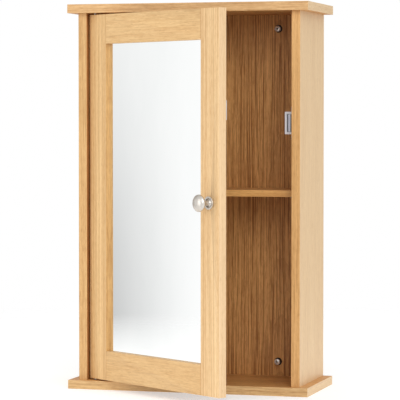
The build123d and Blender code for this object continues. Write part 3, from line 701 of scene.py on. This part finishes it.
def screw_head(size, countersunk):
    """A head with a cross recess, whose walls and floor take the second material, a near-black painted shade."""
    height = size.top - size.ledge
    cone = size.radius - size.shank
    crown = 0 if countersunk else height
    depth = 0.5 * cone if countersunk else 0.70 * height
    reach = 0.60 * size.radius
    blade = 0.30 * size.radius
    if countersunk:
        outline = countersunk_outline(size.radius, size.shank)
    else:
        outline = pan_outline(size.radius, height)
    shape = bmesh.new()
    lathe(shape, outline)
    head = carve(to_mesh(shape, "head"), cross_cutter(reach, blade, depth, crown))
    # The recess's walls and floor take the near-black second material: painted shade.
    for polygon in head.polygons:
        middle = polygon.center
        sunk = crown - 1.05 * depth < middle.z < crown - 0.25 * depth
        polygon.material_index = 1 if sunk and math.hypot(middle.x, middle.y) < reach else 0
    return head


def screw_shank(size, bottom, pitch, plain, countersunk):
    """A thread down to bottom, under the head or under a plain stretch of the shank."""
    core = 0.72 * size.shank
    neck = -0.05 * MM - (size.radius - size.shank if countersunk else 0)
    shape = bmesh.new()
    if plain:
        lathe(shape, [(0, 0), (core, 0), (core, -plain), (0, -plain)], 24)
    thread(shape, -plain if plain else neck, bottom, core, size.shank, pitch, 1.6 * size.shank)
    return to_mesh(shape, "shank")


def make_screws(node, axis, material, pitch, plain=0.0, countersunk=False):
    """Replaces a node of like screws with threaded ones, each where its CAD solid is."""
    solids = [Turned(points, axis) for points in islands(node)]
    datums = [solid.top if countersunk else solid.ledge for solid in solids]
    size = solids[0]
    head = screw_head(size, countersunk)
    shank = screw_shank(size, size.bottom - datums[0], pitch, plain, countersunk)
    screw = gather("screw", [(head, Matrix()), (shank, Matrix())])
    places = [solid.place @ Matrix.Translation((0, 0, datum)) for solid, datum in zip(solids, datums)]
    mesh = gather(node + "_mesh", [(screw, place) for place in places])
    add_piece(node.replace("screws", "threaded_screws"), mesh, node, "zinc_plate", material, recess)


def wall_gap():
    """How far the wall lies behind the underside of the wall screws' heads."""
    screw = Turned(islands("wall_screws")[0], -rearward)
    return span("right_side_panel", rearward)[1] + screw.ledge


def make_all_screws():
    make_screws("wall_screws", -rearward, polished_zinc, 1.8 * MM, plain=wall_gap())
    make_screws("back_panel_screws", rearward, zinc, 1.2 * MM, countersunk=True)
    make_screws("catch_screws", -across, zinc, 1.1 * MM)
    make_screws("clip_screws", door_v, zinc, 1.1 * MM)
    make_screws("strike_screws", door_v, zinc, 1.1 * MM)


# ---------------------------------------------------------------- knob

def knob_outline(rim, base, top):
    """A spread foot, a slim neck and a domed head, from the base up."""
    foot = 0.44 * rim
    neck = 0.29 * rim
    half = 0.50 * rim
    middle = top - half
    throat_share = 0.86
    throat = middle - throat_share * half
    waist = (neck, (base + throat) / 2)
    outline = [(0, base)] + bend((foot, base), (neck, base + 0.1 * rim), waist)
    outline += bend(waist, (neck, throat), (0.5 * rim, throat))[1:]
    start = math.asin(throat_share)
    steps = 32
    for k in range(1, steps):
        angle = -start + (start + QUARTER) * k / steps
        outline.append((rim * math.cos(angle), middle + half * math.sin(angle)))
    return outline + [(0, top)]


def rosette_outline(radius, thick):
    """A rounded rim, a groove inside it, and a lower hub in the middle."""
    land = 0.78 * radius
    groove = 0.70 * radius
    hub = 0.60 * radius
    floor = 0.22 * thick
    shelf = 0.60 * thick
    outline = [(0, 0), (radius, 0)] + bend((radius, 0.3 * thick), (radius, thick), (0.92 * radius, thick))
    outline += bend((land, thick), (groove, thick), (groove, floor), 6)
    outline += [(hub, floor)] + bend((hub, floor + 0.2 * MM), (hub, shelf), (hub - 0.4 * MM, shelf), 4)
    return outline + [(0, shelf)]


def make_knob():
    """The turned knob and its rosette. The knob is a little smaller than its CAD solid, so that it stays
    inside the CAD box."""
    knob = Turned(islands("knob")[0], -door_v)
    rosette = Turned(islands("knob_rosette")[0], -door_v)
    door_face = rosette.bottom
    place = rosette.place @ Matrix.Translation((0, 0, door_face))

    shape = bmesh.new()
    rim = 0.97 * knob.radius
    base = knob.bottom - door_face
    top = knob.top - door_face - 0.45 * MM
    lathe(shape, knob_outline(rim, base, top), 96)
    mesh = gather("turned_knob", [(to_mesh(shape, "knob"), place)], sharp=60)
    add_piece("turned_knob", mesh, "knob", "satin_nickel", nickel)

    shape = bmesh.new()
    lathe(shape, rosette_outline(rosette.radius, rosette.top - door_face), 72)
    mesh = gather("stepped_rosette", [(to_mesh(shape, "rosette"), place)], sharp=40)
    add_piece("stepped_rosette", mesh, "knob_rosette", "satin_nickel", nickel)


# ---------------------------------------------------------------- stage, light and camera

def make_floor():
    """A pale round floor that fades out. It glows a little, so that it stays as white as the room."""
    reach = 1.3
    fade_start = 0.45 * reach
    fade_end = 0.98 * reach
    shape = bmesh.new()
    bmesh.ops.create_circle(shape, cap_ends=True, segments=96, radius=reach)
    mesh = bpy.data.meshes.new("floor")
    shape.to_mesh(mesh)
    shape.free()
    floor = bpy.data.objects.new("floor", mesh)
    bpy.context.scene.collection.objects.link(floor)
    m = Shader("pale_floor")
    cloud = m.noise(m.object_place, 3)
    pale = m.ramp(cloud, [(0, (0.74, 0.74, 0.74)), (1, (0.77, 0.77, 0.765))])
    distance = m.measure("LENGTH", m.object_place)
    m.set(Base_Color=pale, Roughness=0.9, Specular_IOR_Level=0.1, Emission_Color=(1, 1, 1, 1),
          Emission_Strength=0.40, Alpha=m.range(distance, fade_start, fade_end, 1, 0))
    floor.data.materials.append(m.material)


def make_light(name, azimuth, elevation, distance, width, height, power):
    """A soft box aimed at the object's middle. Azimuth 0 is in front of the cabinet and 90 on its right."""
    aim = Vector((0, 0, (cad_box[0].z + cad_box[1].z) / 2))
    a = math.radians(azimuth)
    e = math.radians(elevation)
    back = Vector((math.sin(a) * math.cos(e), -math.cos(a) * math.cos(e), math.sin(e)))
    data = bpy.data.lights.new(name, "AREA")
    data.shape = "RECTANGLE"
    data.size = width
    data.size_y = height
    data.energy = power
    lamp = bpy.data.objects.new(name, data)
    lamp.location = aim + back * distance
    lamp.rotation_euler = back.to_track_quat("Z", "Y").to_euler()
    bpy.context.scene.collection.objects.link(lamp)


def make_world():
    """White to look at. As light it is brighter towards the front right. Towards the left stands a pale
    wall, shaded towards its lower rear, which gives the mirror something to show."""
    bright_way = (0.62, -0.52, 0.59)
    dimmest = 0.46
    brightest = 0.96
    wall_strength = 1.05
    world = bpy.data.worlds.new("studio")
    bpy.context.scene.world = world
    world.use_nodes = True
    g = Graph(world.node_tree)
    way = g.node("TexCoord").outputs["Generated"]
    x, y, z = g.axes(way)
    glow = g.range(g.measure("DOT_PRODUCT", way, bright_way), -1, 1, dimmest, brightest)

    # The wall's shade, as a share of its strength: 0.16 high up at its rear, 0.60 low down, none in front
    to_rear = g.smooth_range(y, -0.062, 0.01, 0, 1)
    to_floor = g.smooth_range(z, -0.10, 0.04, 0.60, 0.16)
    shade = g.math("MULTIPLY", to_rear, to_floor)
    wall = g.math("MULTIPLY_ADD", shade, -wall_strength, wall_strength)
    to_left = g.smooth_range(x, -0.99, -0.90, 1, 0)
    light = g.between(to_left, glow, wall)

    seen = g.node("LightPath").outputs["Is Camera Ray"]
    background = world.node_tree.nodes["Background"]
    g.fill(background.inputs["Color"], (1, 1, 1, 1))
    g.fill(background.inputs["Strength"], g.between(seen, light, 1.0))


def make_camera():
    """In front of the cabinet's right half, looking slightly down and to the left, as the perspective of
    the photograph has it."""
    down = math.radians(2.176)
    left = math.radians(16.244)
    data = bpy.data.cameras.new("camera")
    data.sensor_width = 36.0
    data.lens = 197.16
    camera = bpy.data.objects.new("camera", data)
    camera.location = (0.8495, -2.9213, 0.3757)
    camera.rotation_euler = (QUARTER - down, 0, left)
    bpy.context.scene.collection.objects.link(camera)
    bpy.context.scene.camera = camera


finish_ends()
finish_sides()
finish_back()
finish_shelf()
finish_stiles()
finish_rails()
finish_fittings()
make_all_screws()
make_knob()
make_floor()
make_world()
make_light("key", azimuth=26, elevation=26, distance=2.6, width=1.4, height=1.4, power=18)
make_light("left_strip", azimuth=-42, elevation=6, distance=2.4, width=1.0, height=1.8, power=9)
make_camera()
bpy.context.scene.view_settings.view_transform = "Standard"
